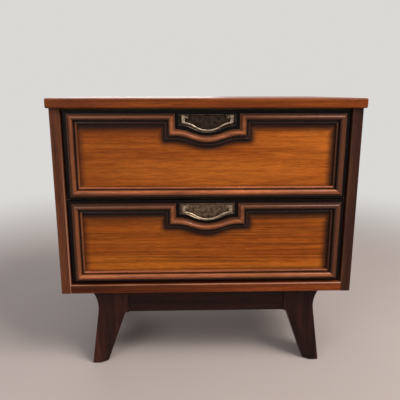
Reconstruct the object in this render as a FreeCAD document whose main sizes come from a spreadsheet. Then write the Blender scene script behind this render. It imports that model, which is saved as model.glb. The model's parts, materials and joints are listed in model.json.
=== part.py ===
import FreeCAD, Part
import math
import os
import re
import Sketcher
from FreeCAD import Placement, Rotation, Vector

# A two-drawer nightstand on a splayed base.
# Frame: X across the front, Y from front to back, Z up; the origin is on the floor under the middle.

doc = FreeCAD.newDocument("Nightstand")

# Driving sizes in millimetres, leg_splay in degrees. Each is written once, here.
SIZES = {
    # overall
    "top_width": 610,
    "top_depth": 406,
    "total_height": 571,
    # case
    "top_thick": 18.5,
    "side_overhang": 5,
    "front_overhang": 8,
    "side_thick": 20,
    "case_floor": 176,
    "bottom_rail_tall": 19,
    "bottom_rail_deep": 25,
    "back_thick": 4,
    "back_inset": 1.5,
    "back_lap": 8,
    "stretcher_thick": 16,
    "stretcher_deep": 60,
    "divider_thick": 19,
    "divider_deep": 40,
    "housing_deep": 6,
    "runner_wide": 30,
    "guide_wide": 22,
    "guide_rise": 7,
    "stop_wide": 25,
    "stop_tall": 15,
    "glue_block_side": 17,
    "glue_block_long": 90,
    "glue_block_share": 0.25,
    "edge_bevel": 2,
    "top_round": 3,
    # drawer fronts and the gaps round them
    "side_gap": 2.5,
    "gap_under": 4,
    "gap_between": 3,
    "gap_over": 4.5,
    "field_setback": 8,
    "lip_thick": 9,
    "front_body_thick": 11,
    "lip_drop": 8,
    # drawer boxes
    "box_side_gap": 6,
    "box_headroom": 19,
    "box_rear_gap": 14,
    "box_side_thick": 12,
    "box_back_thick": 12,
    "box_back_inset": 6,
    "box_back_lower": 8,
    "box_back_housing": 5,
    "box_bottom_thick": 4,
    "box_bottom_up": 10,
    "groove_deep": 6,
    "groove_play": 0.2,
    "tail_count": 4,
    "tail_long": 10,
    "tail_root": 18,
    "tail_flare": 2,
    "cleat_wide": 12,
    "cleat_lift": 0.7,
    "guide_play": 0.6,
    "running_gap": 0.3,
    # moulding and veneer
    "field_over": 5.5,
    "field_under": 5,
    "field_beside": 8.5,
    "moulding_rise": 12,
    "fillet_wide": 2.5,
    "fillet_rise": 6.5,
    "bead_wide": 11,
    "bead_radius": 5.6,
    "groove_wide": 2,
    "groove_rise": 4,
    "inner_bead_wide": 4,
    "inner_bead_rise": 5,
    "inner_bead_radius": 2.1,
    "veneer_thick": 1,
    "notch_half": 62.5,
    "notch_deep": 30,
    "swag_drop": 12.5,
    # pulls
    "plate_half": 56,
    "plate_down": 1,
    "plate_tall": 23,
    "plate_swag": 14,
    "plate_thick": 1.2,
    "rim_wide": 2.5,
    "rim_rise": 1.2,
    "bail_half": 50,
    "bail_arm_wide": 7,
    "bail_down": 2.5,
    "bail_arm_long": 16.3,
    "bail_swag": 15,
    "bail_strap": 3.6,
    "bail_thick": 4,
    "pivot_down": 6.5,
    "pivot_out": 9.5,
    "pin_radius": 1.5,
    "pin_long": 5,
    "post_wide": 7,
    "post_tall": 7.5,
    "post_front": 3,
    "post_side_gap": 0.4,
    "pin_play": 0.05,
    "pull_screw_radius": 2,
    "pull_screw_head": 4,
    "pull_screw_head_tall": 2,
    "pull_screw_bite": 4.5,
    # base
    "glide_thick": 2,
    "glide_radius": 7,
    "leg_setback": 23,
    "leg_deep": 55,
    "waist_inset": 68.5,
    "shoulder_inset": 52,
    "shoulder_wide": 81.5,
    "flare_radius": 65,
    "leg_splay": 8.1,
    "foot_wide": 33,
    "knee_inset": 126,
    "knee_radius": 8,
    "leg_round": 2.5,
    "leg_bevel_wide": 14.5,
    "leg_bevel_deep": 9,
    "apron_tall": 55,
    "apron_thick": 20,
    "apron_recess": 3,
    "dowel_radius": 4,
    "dowel_long": 40,
    "dowel_spread": 13.5,
    "base_cleat_wide": 22,
    "base_cleat_tall": 20,
    # screws and nails
    "screw_radius": 2,
    "screw_head": 4,
    "screw_head_tall": 2.5,
    "screw_long": 30,
    "screw_share": 0.8,
    "cleat_screw_share": 0.3,
    "nail_radius": 0.8,
    "nail_head": 2.5,
    "nail_head_tall": 0.8,
    "nail_long": 16,
    "nail_edge": 4,
    "nail_across_share": 0.6,
    "nail_outer_share": 0.4,
    "nail_inner_share": 0.13,
    "fit_play": 0.05,
}

# Places worked out from the driving sizes.
PLACES = {
    "case_half": "top_width / 2 - side_overhang",
    "opening_half": "case_half - side_thick",
    "slab_front": "-top_depth / 2",
    "slab_rear": "top_depth / 2",
    "top_under": "total_height - top_thick",
    "case_front": "slab_front + front_overhang",
    "back_outer": "slab_rear - back_inset",
    "back_inner": "back_outer - back_thick",
    "rail_top": "case_floor + bottom_rail_tall",
    # drawer front faces, from front to back
    "field_face": "case_front + field_setback",
    "lip_back": "field_face + lip_thick",
    "front_inner": "lip_back + front_body_thick",
    "rail_face": "lip_back + running_gap",
    # drawer heights
    "front_tall": "(top_under - rail_top - gap_under - gap_between - gap_over) / 2",
    "lower_level": "rail_top + gap_under",
    "upper_level": "lower_level + front_tall + gap_between",
    "front_half": "opening_half - side_gap",
    "box_half": "opening_half - box_side_gap",
    "box_inner": "box_half - box_side_thick",
    "box_tall": "front_tall - lip_drop - box_headroom",
    "box_rear": "back_inner - box_rear_gap",
    "box_back_rear": "box_rear - box_back_inset",
    "box_back_front": "box_back_rear - box_back_thick",
    "lower_runner": "lower_level + lip_drop - running_gap",
    "upper_runner": "upper_level + lip_drop - running_gap",
    "divider_rear_face": "back_inner - divider_deep",
    "divider_front_back": "rail_face + divider_deep",
    "stretcher_under": "top_under - stretcher_thick",
    "tail_pitch": "box_tall / tail_count",
    # moulding
    "moulding_wide": "fillet_wide + bead_wide + groove_wide + inner_bead_wide",
    "moulding_half": "front_half - field_beside",
    "veneer_half": "moulding_half - moulding_wide",
    "bead_shoulder": "moulding_rise - bead_radius + sqrt(bead_radius ^ 2 - (bead_wide / 2) ^ 2)",
    "moulding_up": "front_tall - field_over",
    "swag_angle": "2 * atan(swag_drop / notch_half)",
    "swag_radius": "notch_half / 2 / sin(swag_angle)",
    # pulls
    "plate_face": "field_face - plate_thick",
    "plate_angle": "2 * atan(plate_swag / plate_half)",
    "plate_radius": "plate_half / 2 / sin(plate_angle)",
    "bail_angle": "2 * atan(bail_swag / bail_half)",
    "bail_radius": "bail_half / 2 / sin(bail_angle)",
    "bail_inner": "bail_half - bail_arm_wide",
    "pivot_face": "field_face - pivot_out",
    "post_outer": "bail_inner - post_side_gap",
    "post_inner": "post_outer - post_wide",
    # base
    "leg_front_face": "case_front + leg_setback",
    "leg_front_back": "leg_front_face + leg_deep",
    "leg_rear_back": "slab_rear - leg_setback",
    "leg_rear_front": "leg_rear_back - leg_deep",
    "apron_low": "case_floor - apron_tall",
    "shoulder_out": "case_half - shoulder_inset",
    "shoulder_in": "shoulder_out - shoulder_wide",
    "waist_out": "case_half - waist_inset",
    "flare_across": "waist_out + flare_radius",
    "flare_up": "case_floor - sqrt(flare_radius ^ 2 - (flare_across - shoulder_out) ^ 2)",
    "splay_across": "flare_across - flare_radius * cos(leg_splay)",
    "splay_up": "flare_up - flare_radius * sin(leg_splay)",
    "foot_out": "splay_across + (splay_up - glide_thick) * tan(leg_splay)",
    "foot_in": "foot_out - foot_wide",
    "knee_across": "case_half - knee_inset",
    "knee_angle": "atan((apron_low - glide_thick) / (foot_in - knee_across))",
    "knee_back": "knee_radius * tan(knee_angle / 2)",
    "side_apron_out": "waist_out - apron_recess",
    "side_apron_in": "side_apron_out - apron_thick",
}


def ref(text, bare=()):
    """Point every size named in an expression at its cell."""
    def cell(match):
        word = match.group(0)
        if word in SIZES:
            return "Sizes." + word
        if word in PLACES and word not in bare:
            return "Places." + word
        return word
    return re.sub(r"[A-Za-z_]\w*", cell, str(text))


def write_sheet(name, cells):
    """Write names in column A and their numbers or formulas in column B."""
    sheet = doc.addObject("Spreadsheet::Sheet", name)
    for row, (alias, content) in enumerate(cells.items(), start=1):
        sheet.set(f"A{row}", alias)
        sheet.set(f"B{row}", content)
        sheet.setAlias(f"B{row}", alias)
    doc.recompute()
    return sheet


sizes = write_sheet("Sizes", {alias: str(number) for alias, number in SIZES.items()})
places = write_sheet("Places", {alias: "=" + ref(formula, PLACES) for alias, formula in PLACES.items()})


def value(expression):
    """The present number of an expression of named sizes."""
    number = sizes.evalExpression(ref(expression))
    return float(getattr(number, "Value", number))


# Building blocks --------------------------------------------------------------------------------------

TURNED = {
    "x": Rotation(Vector(0, 1, 0), 90),
    "y": Rotation(Vector(1, 0, 0), -90),
    "z": Rotation(),
}
UPRIGHT = Rotation(Vector(1, 0, 0), 90)
parts = []


def part(name, item):
    """Mark an object as a finished piece under its own name."""
    item.Label = name
    parts.append(item)
    return item


def locate(item, x, y, z):
    """Tie an object's position to expressions."""
    for axis, place in zip("xyz", (x, y, z)):
        item.setExpression(f".Placement.Base.{axis}", ref(place))


def board(name, x, y, z):
    """A square-edged board between a low and a high place along each axis."""
    box = doc.addObject("Part::Box", name)
    for side, (low, high) in zip(("Length", "Width", "Height"), (x, y, z)):
        box.setExpression(side, ref(f"({high}) - ({low})"))
    locate(box, x[0], y[0], z[0])
    return box


def rod(name, along, start, length, radius):
    """A round rod from a starting point along one axis."""
    bar = doc.addObject("Part::Cylinder", name)
    bar.Placement = Placement(Vector(), TURNED[along])
    bar.setExpression("Height", ref(length))
    bar.setExpression("Radius", ref(radius))
    locate(bar, *start)
    return bar


def group(name, items):
    """Several separate solids kept as one object."""
    bundle = doc.addObject("Part::Compound", name)
    bundle.Links = items
    return bundle


def fused(name, items):
    """Solids joined into one."""
    whole = doc.addObject("Part::MultiFuse", name)
    whole.Shapes = items
    whole.Refine = True
    return whole


def cut(name, base, tools):
    """A solid with tools taken out of it."""
    rest = doc.addObject("Part::Cut", name)
    rest.Base = base
    rest.Tool = tools[0] if len(tools) == 1 else group(name + "_tools", tools)
    return rest


def common(name, first, second):
    """The space that two solids share."""
    both = doc.addObject("Part::Common", name)
    both.Base = first
    both.Tool = second
    return both


def arc_between(start, end, radius, turn):
    """A minor arc from start to end that turns left or right, and its two point numbers in that order."""
    chord = end - start
    height = math.sqrt(max(radius ** 2 - (chord.Length / 2) ** 2, 0))
    to_left = Vector(-chord.y, chord.x, 0).normalize()
    centre = (start + end) / 2 + to_left * (height if turn == "left" else -height)
    first, last = (start, end) if turn == "left" else (end, start)
    angles = [math.atan2((spot - centre).y, (spot - centre).x) for spot in (first, last)]
    arc = Part.ArcOfCircle(Part.Circle(centre, Vector(0, 0, 1), radius), *angles)
    return arc, ((1, 2) if turn == "left" else (2, 1))


def draw(sketch, corners, closed=True):
    """Draw an outline through corners: (across, up), or (across, up, turn, radius) where an arc leaves."""
    spots = [Vector(value(corner[0]), value(corner[1]), 0) for corner in corners]
    count = len(corners) if closed else len(corners) - 1
    ends = []
    for index in range(count):
        start, end = spots[index], spots[(index + 1) % len(spots)]
        if len(corners[index]) == 2:
            ends.append((sketch.addGeometry(Part.LineSegment(start, end), False), 1, 2))
            continue
        turn, radius = corners[index][2:]
        arc, (first, last) = arc_between(start, end, value(radius), turn)
        number = sketch.addGeometry(arc, False)
        ends.append((number, first, last))
        limit = sketch.addConstraint(Sketcher.Constraint("Radius", number, value(radius)))
        sketch.setExpression(f"Constraints[{limit}]", ref(radius))
    for index, (number, first, last) in enumerate(ends):
        if closed or index:
            before = ends[index - 1]
            sketch.addConstraint(Sketcher.Constraint("Coincident", before[0], before[2], number, first))
        pin_down(sketch, number, first, spots[index], corners[index])
    if not closed:
        pin_down(sketch, ends[-1][0], ends[-1][2], spots[-1], corners[-1])


def pin_down(sketch, number, point, spot, corner):
    """Hold one point of a sketch at the place that its corner names."""
    for kind, amount, expression in (("DistanceX", spot.x, corner[0]), ("DistanceY", spot.y, corner[1])):
        limit = sketch.addConstraint(Sketcher.Constraint(kind, -1, 1, number, point, amount))
        sketch.setExpression(f"Constraints[{limit}]", ref(expression))


def body(name, plane, corners, start, length):
    """A body whose outline is drawn on an origin plane and padded along the plane's normal."""
    solid = doc.addObject("PartDesign::Body", name)
    sketch = solid.newObject("Sketcher::SketchObject", name + "_sketch")
    face = next(item for item in solid.Origin.OriginFeatures if item.Role == plane)
    sketch.AttachmentSupport = [(face, "")]
    sketch.MapMode = "FlatFace"
    sketch.setExpression("AttachmentOffset.Base.z", ref(start))
    draw(sketch, corners)
    pad = solid.newObject("PartDesign::Pad", name + "_pad")
    pad.Profile = sketch
    pad.setExpression("Length", ref(length))
    return solid


def soften(solid, kind, size, wanted):
    """Round or bevel those edges of a body's last feature that the test picks."""
    doc.recompute()
    feature = solid.Tip
    edges = [f"Edge{n}" for n, edge in enumerate(feature.Shape.Edges, start=1) if wanted(edge)]
    eased = solid.newObject("PartDesign::" + kind, solid.Name + "_" + kind.lower())
    eased.Base = (feature, edges)
    eased.setExpression("Radius" if kind == "Fillet" else "Size", ref(size))
    return eased


def prism(name, origin, turn, corners, length):
    """An outline drawn on a turned plane and pushed along that plane's normal."""
    sketch = doc.addObject("Sketcher::SketchObject", name + "_sketch")
    sketch.Placement = Placement(Vector(), turn)
    locate(sketch, *origin)
    draw(sketch, corners)
    solid = doc.addObject("Part::Extrusion", name)
    solid.Base = sketch
    solid.DirMode = "Normal"
    solid.Solid = True
    solid.setExpression("LengthFwd", ref(length))
    return solid


def mirrored(pair, sign):
    """A low and high pair along X, for the right (+1) or the left (-1) side."""
    low, high = pair
    return (low, high) if sign > 0 else (f"-({high})", f"-({low})")


SIDES = (("left", -1), ("right", 1))


# Case ---------------------------------------------------------------------------------------------------

def screw(name, x, y, z, play="0"):
    """A countersunk wood screw driven upwards, its head flush at z."""
    head = doc.addObject("Part::Cone", name + "_head")
    head.setExpression("Radius1", ref(f"screw_head + {play}"))
    head.setExpression("Radius2", ref(f"screw_radius + {play}"))
    head.setExpression("Height", ref("screw_head_tall"))
    locate(head, x, y, z)
    shank = rod(name + "_shank", "z", (x, y, z), "screw_long", f"screw_radius + {play}")
    return fused(name, [head, shank])


def screw_places():
    """Every wood screw: three through each top stretcher, three or two through each base cleat."""
    for place in (-1, 0, 1):
        across = f"{place} * screw_share * opening_half"
        yield across, "rail_face + stretcher_deep / 2", "stretcher_under"
        yield across, "back_inner - stretcher_deep / 2", "stretcher_under"
    cleat = "case_floor - base_cleat_tall"
    for place in (-1, 0, 1):
        across = f"{place} * screw_share * shoulder_in"
        middle = "apron_recess + apron_thick + base_cleat_wide / 2"
        yield across, f"leg_front_face + {middle}", cleat
        yield across, f"leg_rear_back - ({middle})", cleat
    middle = "(leg_front_back + leg_rear_front) / 2"
    for sign in (-1, 1):
        for place in (-1, 1):
            along = f"{middle} + {place} * cleat_screw_share * (leg_rear_front - leg_front_back)"
            yield f"{sign} * (side_apron_in - base_cleat_wide / 2)", along, cleat


def build_screws():
    """The screws, and the matching holes for the boards that they pass through."""
    screws, top_holes, cleat_holes = [], [], []
    for number, (x, y, z) in enumerate(screw_places()):
        screws.append(screw(f"screw_{number}", x, y, z))
        hole = screw(f"screw_hole_{number}", x, y, z, "fit_play")
        (top_holes if z == "stretcher_under" else cleat_holes).append(hole)
    part("wood_screws", group("wood_screws", screws))
    return group("top_screw_holes", top_holes), group("cleat_screw_holes", cleat_holes)


def build_top(screw_holes):
    """The top board, its upper edges rounded at the front and the ends."""
    corners = [
        ("-top_width / 2", "slab_front"),
        ("top_width / 2", "slab_front"),
        ("top_width / 2", "slab_rear"),
        ("-top_width / 2", "slab_rear"),
    ]
    slab = body("top_slab", "XY_Plane", corners, "top_under", "top_thick")
    rear = value("slab_rear")
    soften(slab, "Fillet", "top_round",
           lambda edge: any(vertex.Point.y < rear - 1 for vertex in edge.Vertexes))
    part("top_panel", cut("top_panel", slab, [screw_holes]))


def build_sides(housings, nail_holes):
    """Two sides: the plan outline has the rebate for the back and the bevel of the front edge."""
    for side, sign in SIDES:
        plan = [
            ("opening_half + edge_bevel", "case_front"),
            ("case_half - edge_bevel / 2", "case_front"),
            ("case_half", "case_front + edge_bevel / 2"),
            ("case_half", "slab_rear"),
            ("opening_half + back_lap", "slab_rear"),
            ("opening_half + back_lap", "back_inner"),
            ("opening_half", "back_inner"),
            ("opening_half", "case_front + edge_bevel"),
        ]
        corners = [(f"{sign} * ({across})", along) for across, along in plan]
        blank = body(f"side_{side}_blank", "XY_Plane", corners, "case_floor", "top_under - case_floor")
        part(f"side_panel_{side}", cut(f"side_panel_{side}", blank, [housings, nail_holes]))


def build_bottom(screw_holes, nail_holes):
    """The bottom board and the hardwood rail that faces it under the drawers."""
    across = ("-opening_half", "opening_half")
    floor_board = board("bottom_board", across, ("case_front + bottom_rail_deep", "back_inner"),
                        ("case_floor", "rail_top"))
    part("bottom_panel", cut("bottom_panel", floor_board, [screw_holes, nail_holes]))
    section = [
        ("case_front + edge_bevel / 2", "case_floor"),
        ("case_front + bottom_rail_deep", "case_floor"),
        ("case_front + bottom_rail_deep", "rail_top"),
        ("case_front + edge_bevel", "rail_top"),
        ("case_front", "rail_top - edge_bevel"),
        ("case_front", "case_floor + edge_bevel / 2"),
    ]
    part("bottom_rail", body("bottom_rail", "YZ_Plane", section, "-opening_half", "2 * opening_half"))


def build_rails(screw_holes, nail_holes):
    """Stretchers under the top, and the rails between the drawers with their ends housed in the sides."""
    across = ("-opening_half", "opening_half")
    height = ("stretcher_under", "top_under")
    for place, along, holes in (
        ("front", ("rail_face", "rail_face + stretcher_deep"), [screw_holes]),
        ("rear", ("back_inner - stretcher_deep", "back_inner"), [screw_holes, nail_holes]),
    ):
        blank = board(f"stretcher_{place}_blank", across, along, height)
        part(f"top_stretcher_{place}", cut(f"top_stretcher_{place}", blank, holes))
    housed = ("-opening_half - housing_deep", "opening_half + housing_deep")
    height = ("upper_runner - divider_thick", "upper_runner")
    housings = []
    for place, along in (
        ("front", ("rail_face", "divider_front_back")),
        ("rear", ("divider_rear_face", "back_inner")),
    ):
        part(f"divider_rail_{place}", board(f"divider_rail_{place}", housed, along, height))
        housings.append(board(f"divider_housing_{place}", housed, along, height))
    return group("divider_housings", housings)


def build_runners():
    """Strips that carry the drawer sides, the centre guides and the stops behind the drawers."""
    runners, guides, stops = [], [], []
    levels = (
        ("upper", "upper_runner - divider_thick", ("divider_front_back", "divider_rear_face")),
        ("lower", "rail_top", ("rail_face", "back_inner")),
    )
    for level, under, along in levels:
        top = f"{level}_runner"
        for side, sign in SIDES:
            across = mirrored(("opening_half - runner_wide", "opening_half"), sign)
            runners.append(board(f"runner_{level}_{side}", across, along, (under, top)))
            across = mirrored(("opening_half - stop_wide", "opening_half"), sign)
            behind = ("box_rear + running_gap", "back_inner")
            stops.append(board(f"stop_{level}_{side}", across, behind, (top, f"{top} + stop_tall")))
        guide_under = top if level == "upper" else "rail_top"
        guides.append(board(f"guide_{level}", ("-guide_wide / 2", "guide_wide / 2"),
                            ("front_inner + 3 * running_gap", "back_inner"),
                            (guide_under, f"{top} + guide_rise")))
    part("drawer_runners", group("drawer_runners", runners))
    part("centre_guides", group("centre_guides", guides))
    part("drawer_stops", group("drawer_stops", stops))


def build_glue_blocks():
    """Blocks in the corners between the sides and the top, two on each side."""
    blocks = []
    start, end = "rail_face + stretcher_deep", "back_inner - stretcher_deep"
    for side, sign in SIDES:
        across = mirrored(("opening_half - glue_block_side", "opening_half"), sign)
        for place in (-1, 1):
            middle = f"({start} + {end}) / 2 + {place} * glue_block_share * ({end} - ({start}))"
            along = (f"{middle} - glue_block_long / 2", f"{middle} + glue_block_long / 2")
            blocks.append(board(f"glue_block_{side}", across, along,
                                ("top_under - glue_block_side", "top_under")))
    part("glue_blocks", group("glue_blocks", blocks))


def nail(name, x, z, play="0"):
    """A nail driven forwards through the back, its head on the back's face."""
    shank = rod(name + "_shank", "y", (x, "back_outer - nail_long", z), "nail_long",
                f"nail_radius + {play}")
    if play != "0":
        return shank
    head = rod(name + "_head", "y", (x, "back_outer", z), "nail_head_tall", "nail_head")
    return fused(name, [shank, head])


def build_back():
    """The thin back in its rebates, with nails into the sides, the bottom and the rear stretcher."""
    spots = []
    for sign in (-1, 1):
        for up in ("-nail_outer_share", "-nail_inner_share", "nail_inner_share", "nail_outer_share"):
            height = f"(case_floor + top_under) / 2 + ({up}) * (top_under - case_floor)"
            spots.append((f"{sign} * (opening_half + nail_edge)", height))
    for place in (-1, 0, 1):
        across = f"{place} * nail_across_share * opening_half"
        spots.append((across, "(case_floor + rail_top) / 2"))
        spots.append((across, "(stretcher_under + top_under) / 2"))
    nails = [nail(f"nail_{number}", x, z) for number, (x, z) in enumerate(spots)]
    holes = [nail(f"nail_hole_{number}", x, z, "fit_play") for number, (x, z) in enumerate(spots)]
    sheet = board("back_sheet", ("-opening_half - back_lap", "opening_half + back_lap"),
                  ("back_inner", "back_outer"), ("case_floor", "top_under"))
    nail_holes = group("nail_holes", holes)
    part("back_panel", cut("back_panel", sheet, [nail_holes]))
    part("back_nails", group("back_nails", nails))
    return nail_holes


# Base ---------------------------------------------------------------------------------------------------

def leg_corners(sign):
    """Front outline of a leg: straight splayed blade, flared shoulder, and a knee under the apron."""
    outline = [
        ("foot_out", "glide_thick"),
        ("splay_across", "splay_up", "right", "flare_radius"),
        ("shoulder_out", "case_floor"),
        ("shoulder_in", "case_floor"),
        ("shoulder_in", "apron_low"),
        ("knee_across - knee_back", "apron_low", "right", "knee_radius"),
        ("knee_across + knee_back * cos(knee_angle)", "apron_low - knee_back * sin(knee_angle)"),
        ("foot_in", "glide_thick"),
    ]
    if sign > 0:
        return outline
    swap = {"right": "left", "left": "right"}
    corners = []
    for across, up, *bend in outline:
        turned = [swap[bend[0]], bend[1]] if bend else []
        corners.append((f"-({across})", up, *turned))
    return corners


def leg_bevel(name, place, sign):
    """A leaning wedge that bevels a leg's inner edge on its outward face, from the foot to the knee."""
    face, inwards = {"front": ("leg_front_face", 1), "rear": ("leg_rear_back", -1)}[place]
    outline = [
        (f"{sign} * (foot_in + 2 * leg_bevel_wide)", f"{face} - {inwards} * leg_bevel_deep"),
        (f"{sign} * (foot_in - leg_bevel_wide)", f"{face} + {inwards} * 2 * leg_bevel_deep"),
        (f"{sign} * (foot_in - leg_bevel_wide)", f"{face} - {inwards} * leg_bevel_deep"),
    ]
    wedge = prism(name, ("0", "0", "glide_thick"), TURNED["z"], outline, "0")
    wedge.DirMode = "Custom"
    wedge.setExpression("Dir.x", ref(f"{sign} * (knee_across - foot_in)"))
    wedge.setExpression("Dir.y", "0")
    wedge.setExpression("Dir.z", ref("apron_low - glide_thick"))
    return wedge


def build_dowels():
    """Two dowels in each joint between an apron and a leg, and the holes for them."""
    dowels, holes = [], []
    middle = "(apron_low + case_floor) / 2"
    for sign in (-1, 1):
        for rise in (-1, 1):
            up = f"{middle} + {rise} * dowel_spread"
            lines = [
                ("x", f"{sign} * shoulder_in - dowel_long / 2",
                 "leg_front_face + apron_recess + apron_thick / 2"),
                ("x", f"{sign} * shoulder_in - dowel_long / 2",
                 "leg_rear_back - apron_recess - apron_thick / 2"),
                ("y", f"{sign} * (side_apron_in + apron_thick / 2)", "leg_front_back - dowel_long / 2"),
                ("y", f"{sign} * (side_apron_in + apron_thick / 2)", "leg_rear_front - dowel_long / 2"),
            ]
            for along, x, y in lines:
                number = len(dowels)
                dowels.append(rod(f"dowel_{number}", along, (x, y, up), "dowel_long", "dowel_radius"))
                holes.append(rod(f"dowel_hole_{number}", along, (x, y, up), "dowel_long",
                                 "dowel_radius + fit_play"))
    part("apron_dowels", group("apron_dowels", dowels))
    return group("dowel_holes", holes)


def build_legs(dowel_holes):
    """Four legs, each with a glide under its foot."""
    top, foot, shoulder = value("case_floor"), value("glide_thick"), value("shoulder_in")

    def long_edge(edge):
        """Edges along the leg's front and back faces, apart from its top, foot and joint."""
        first, last = (vertex.Point for vertex in edge.Vertexes)
        flat = abs(first.y - last.y) < 0.01
        ends = abs(first.z - last.z) < 0.01 and min(abs(first.z - top), abs(first.z - foot)) < 0.01
        joint = max(abs(abs(first.x) - shoulder), abs(abs(last.x) - shoulder)) < 0.01
        return flat and not ends and not joint

    glides = []
    for place, start, middle in (
        ("front", "-leg_front_back", "(leg_front_face + leg_front_back) / 2"),
        ("rear", "-leg_rear_back", "(leg_rear_front + leg_rear_back) / 2"),
    ):
        for side, sign in SIDES:
            name = f"leg_{place}_{side}"
            blade = body(name + "_blade", "XZ_Plane", leg_corners(sign), start, "leg_deep")
            soften(blade, "Fillet", "leg_round", long_edge)
            bevel = leg_bevel(name + "_bevel", place, sign)
            part(name, cut(name, blade, [dowel_holes, bevel]))
            centre = (f"{sign} * (foot_in + foot_out) / 2", middle, "0")
            glides.append(rod(f"glide_{place}_{side}", "z", centre, "glide_thick", "glide_radius"))
    part("foot_glides", group("foot_glides", glides))


def build_aprons(dowel_holes, screw_holes):
    """Aprons between the legs with a rounded lower edge, and cleats inside them under the case."""
    span = ("-shoulder_in", "2 * shoulder_in")
    long_section = (
        ("apron_front", "leg_front_face + apron_recess", 1),
        ("apron_rear", "leg_rear_back - apron_recess", -1),
    )
    for name, face, sign in long_section:
        turn = "left" if sign > 0 else "right"
        section = [
            (f"{face} + {sign} * leg_round", "apron_low"),
            (f"{face} + {sign} * apron_thick", "apron_low"),
            (f"{face} + {sign} * apron_thick", "case_floor"),
            (face, "case_floor"),
            (face, "apron_low + leg_round", turn, "leg_round"),
        ]
        blank = body(name + "_blank", "YZ_Plane", section, *span)
        part(name, cut(name, blank, [dowel_holes]))
    for side, sign in SIDES:
        across = mirrored(("side_apron_in", "side_apron_out"), sign)
        blank = board(f"apron_{side}_blank", across, ("leg_front_back", "leg_rear_front"),
                      ("apron_low", "case_floor"))
        part(f"apron_{side}", cut(f"apron_{side}", blank, [dowel_holes]))
    height = ("case_floor - base_cleat_tall", "case_floor")
    inside = "(apron_recess + apron_thick)"
    cleats = [
        board("cleat_front", ("-shoulder_in", "shoulder_in"),
              (f"leg_front_face + {inside}", f"leg_front_face + {inside} + base_cleat_wide"), height),
        board("cleat_rear", ("-shoulder_in", "shoulder_in"),
              (f"leg_rear_back - {inside} - base_cleat_wide", f"leg_rear_back - ({inside})"), height),
    ]
    for side, sign in SIDES:
        across = mirrored(("side_apron_in - base_cleat_wide", "side_apron_in"), sign)
        cleats.append(board(f"cleat_{side}", across, ("leg_front_back", "leg_rear_front"), height))
    part("base_cleats", cut("base_cleats", group("cleat_blanks", cleats), [screw_holes]))


# Drawers ------------------------------------------------------------------------------------------------

def tails(name, level, sign, thickness="box_side_thick"):
    """The dovetails of one drawer side: wedges from the front's inner face into the front."""
    wires = []
    for number in range(int(value("tail_count"))):
        middle = f"{level}_level + lip_drop + ({number} + 0.5) * tail_pitch"
        half = "tail_root / 2"
        corners = [
            ("front_inner", f"{middle} - {half}"),
            ("front_inner", f"{middle} + {half}"),
            ("front_inner - tail_long", f"{middle} + {half} + tail_flare"),
            ("front_inner - tail_long", f"{middle} - {half} - tail_flare"),
        ]
        origin = (mirrored(("box_inner", "box_half"), sign)[0], "0", "0")
        across = Rotation(Vector(1, 1, 1), 120)
        wires.append(prism(f"{name}_{number}", origin, across, corners, thickness))
    return wires


def swag(half, drop, angle, radius, up, offset):
    """The two bending points of a swag curve: arcs of one radius that meet at a slant.

    The curve starts level at -half, dips by drop at the middle and ends level at half. An offset
    moves it squarely downwards, which shortens the outer arcs and lengthens the middle one.
    """
    bend_across = f"({half}) / 2 + ({offset}) * sin({angle})"
    bend_up = f"{up} - ({drop}) / 2 - ({offset}) * cos({angle})"
    return [
        (f"-({bend_across})", bend_up, "left", f"{radius} + ({offset})"),
        (bend_across, bend_up, "right", f"{radius} - ({offset})"),
    ]


def build_front(level, screw_holes):
    """The lipped front, cut for the dovetails, the bottom and the pull's screws, and its face veneer."""
    base = f"{level}_level"
    lip = board(f"{level}_lip", ("-front_half", "front_half"), ("field_face", "lip_back"),
                (base, f"{base} + front_tall"))
    inner = board(f"{level}_front_body", ("-box_half", "box_half"), ("lip_back", "front_inner"),
                  (f"{base} + lip_drop", f"{base} + lip_drop + box_tall"))
    blank = fused(f"{level}_front_blank", [lip, inner])
    sockets = [wedge for side, sign in SIDES for wedge in tails(f"{level}_socket_{side}", level, sign)]
    groove_low = f"{base} + lip_drop + box_bottom_up"
    groove = board(f"{level}_front_groove", ("-box_inner - groove_deep", "box_inner + groove_deep"),
                   ("front_inner - groove_deep", "front_inner"),
                   (groove_low, f"{groove_low} + box_bottom_thick + groove_play"))
    part(f"{level}_front", cut(f"{level}_front", blank, [*sockets, groove, screw_holes]))

    top = f"{base} + moulding_up - moulding_wide"
    low = f"{base} + field_under + moulding_wide"
    corner = f"{base} + moulding_up - notch_deep"
    bends = swag("notch_half", "swag_drop", "swag_angle", "swag_radius", corner, "moulding_wide")
    outline = [
        ("-veneer_half", low),
        ("veneer_half", low),
        ("veneer_half", top),
        ("notch_half + moulding_wide", top),
        ("notch_half + moulding_wide", f"{corner} - moulding_wide"),
        ("notch_half", f"{corner} - moulding_wide", "left", "swag_radius - moulding_wide"),
        (bends[1][0], bends[1][1], "right", "swag_radius + moulding_wide"),
        (bends[0][0], bends[0][1], "left", "swag_radius - moulding_wide"),
        ("-notch_half", f"{corner} - moulding_wide"),
        ("-notch_half - moulding_wide", f"{corner} - moulding_wide"),
        ("-notch_half - moulding_wide", top),
        ("-veneer_half", top),
    ]
    part(f"{level}_face_veneer",
         body(f"{level}_face_veneer", "XZ_Plane", outline, "-field_face", "veneer_thick"))


MOULDING_SECTION = [
    ("0", "0"),
    ("0", "fillet_rise"),
    ("fillet_wide", "fillet_rise"),
    ("fillet_wide", "bead_shoulder", "right", "bead_radius"),
    ("fillet_wide + bead_wide", "bead_shoulder"),
    ("fillet_wide + bead_wide", "groove_rise"),
    ("moulding_wide - inner_bead_wide", "groove_rise"),
    ("moulding_wide - inner_bead_wide", "inner_bead_rise", "right", "inner_bead_radius"),
    ("moulding_wide", "inner_bead_rise"),
    ("moulding_wide", "0"),
]
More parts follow.
